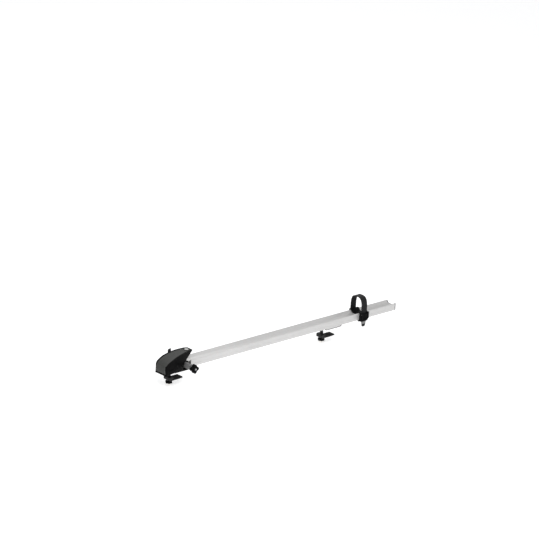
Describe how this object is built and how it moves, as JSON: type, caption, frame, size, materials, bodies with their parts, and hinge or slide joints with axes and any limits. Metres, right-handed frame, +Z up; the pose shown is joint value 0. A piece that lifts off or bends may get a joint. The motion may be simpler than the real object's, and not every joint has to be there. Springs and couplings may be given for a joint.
{
  "type": "fork mount bike carrier",
  "caption": "Roof rack bike carrier: a channel rail with a lockable fork clamp head, a quick release skewer, bar clamps and a strap for the rear wheel.",
  "frame": {"origin": "centre of the front crossbar seat, in the plane of the seat", "axes": "+X to the rear along the rail, +Y to the skewer's lever side, +Z up"},
  "size_m": [1.282, 0.16, 0.154],
  "materials": {
    "anodised_aluminium": "satin anodised, brushed lengthwise",
    "end_cap_plastic": "moulded, fine texture",
    "black_casting": "black powder coat",
    "hood_plastic": "moulded shell with a dark grey textured band",
    "black_plastic": "moulded, satin",
    "lever_paint": "black satin",
    "bar_rubber": "matt rubber",
    "strap_plastic": "soft moulded plastic, lighter tail",
    "sleeve_metal": "grey cast finish",
    "bright_steel": "zinc plated",
    "lock_metal": "satin nickel",
    "brass_insert": "turned"
  },
  "bodies": {
    "carrier": {"rail": "anodised_aluminium", "rear_end_cap": "end_cap_plastic", "head_base": "black_casting", "front_bar_pad": "bar_rubber", "hood_hinge_pin": "bright_steel", "axle_sleeve": "sleeve_metal", "front_clamp_bolt": "bright_steel", "joint_screws": "bright_steel"},
    "hood": {"hood": "hood_plastic"},
    "lock": {"lock_cylinder": "lock_metal", "lock_tongue": "bright_steel"},
    "skewer": {"skewer_rod": "bright_steel", "skewer_eye": "bright_steel", "lever_pin": "bright_steel", "lever_saddle": "black_plastic"},
    "lever": {"skewer_lever": "lever_paint"},
    "nut": {"nut_core": "bright_steel", "adjusting_knob": "black_plastic"},
    "front_jaw": {"front_jaw": "black_casting", "front_jaw_pad": "bar_rubber", "front_washer": "bright_steel"},
    "front_knob": {"front_clamp_knob": "black_plastic", "front_knob_nut": "brass_insert"},
    "rear_clamp": {"rear_t_bolt": "bright_steel", "rear_saddle": "anodised_aluminium", "rear_bar_pad": "bar_rubber"},
    "rear_jaw": {"rear_jaw": "black_casting", "rear_jaw_pad": "bar_rubber", "rear_washer": "bright_steel"},
    "rear_knob": {"rear_clamp_knob": "black_plastic", "rear_knob_nut": "brass_insert"},
    "wheel_holder": {"wheel_cradle": "black_plastic", "wheel_strap": "strap_plastic", "buckle_frame": "black_plastic", "buckle_pin": "bright_steel", "far_anchor": "black_plastic", "anchor_screws": "bright_steel"},
    "buckle_lever": {"buckle_lever": "black_plastic"}
  },
  "joints": [
    {"name": "hood_hinge", "type": "hinge", "parent": "carrier", "child": "hood", "pos_m": [-0.088, 0, 0.001], "axis": [0, -1, 0], "range_deg": [0, 95]},
    {"name": "lock_turn", "type": "hinge", "parent": "hood", "child": "lock", "pos_m": [0.038, 0, 0.07], "axis": [0, 0, 1], "range_deg": [0, 90]},
    {"name": "skewer_float", "type": "slide", "parent": "carrier", "child": "skewer", "axis": [0, 1, 0], "range_m": [-0.0075, 0.0075]},
    {"name": "lever_swing", "type": "hinge", "parent": "skewer", "child": "lever", "pos_m": [0.022, 0.073, 0.02], "axis": [-0.9613, 0, -0.2756], "range_deg": [0, 150]},
    {"name": "nut_turn", "type": "hinge", "parent": "skewer", "child": "nut", "pos_m": [0.022, -0.065, 0.02], "axis": [0, 1, 0], "continuous": true},
    {"name": "front_knob_turn", "type": "hinge", "parent": "front_jaw", "child": "front_knob", "pos_m": [-0.049, 0, -0.043], "axis": [0, 0, -1], "range_deg": [0, 2160]},
    {"name": "front_jaw_slide", "type": "slide", "parent": "carrier", "child": "front_jaw", "axis": [0, 0, -1], "range_m": [0, 0.0075]},
    {"name": "rear_clamp_slide", "type": "slide", "parent": "carrier", "child": "rear_clamp", "axis": [1, 0, 0], "range_m": [-0.4, 0.06]},
    {"name": "rear_knob_turn", "type": "hinge", "parent": "rear_jaw", "child": "rear_knob", "pos_m": [0.788, 0, -0.043], "axis": [0, 0, -1], "range_deg": [0, 2160]},
    {"name": "rear_jaw_slide", "type": "slide", "parent": "rear_clamp", "child": "rear_jaw", "axis": [0, 0, -1], "range_m": [0, 0.0075]},
    {"name": "holder_slide", "type": "slide", "parent": "carrier", "child": "wheel_holder", "axis": [1, 0, 0], "range_m": [-0.2, 0.15]},
    {"name": "buckle_swing", "type": "hinge", "parent": "wheel_holder", "child": "buckle_lever", "pos_m": [0.993, -0.0394, 0.036], "axis": [-1, 0, 0], "range_deg": [0, 80]}
  ],
  "couplings": [
    {"joint": "front_knob_turn", "follows": "front_jaw_slide", "rad_per_m": 5026.5},
    {"joint": "rear_knob_turn", "follows": "rear_jaw_slide", "rad_per_m": 5026.5}
  ]
}
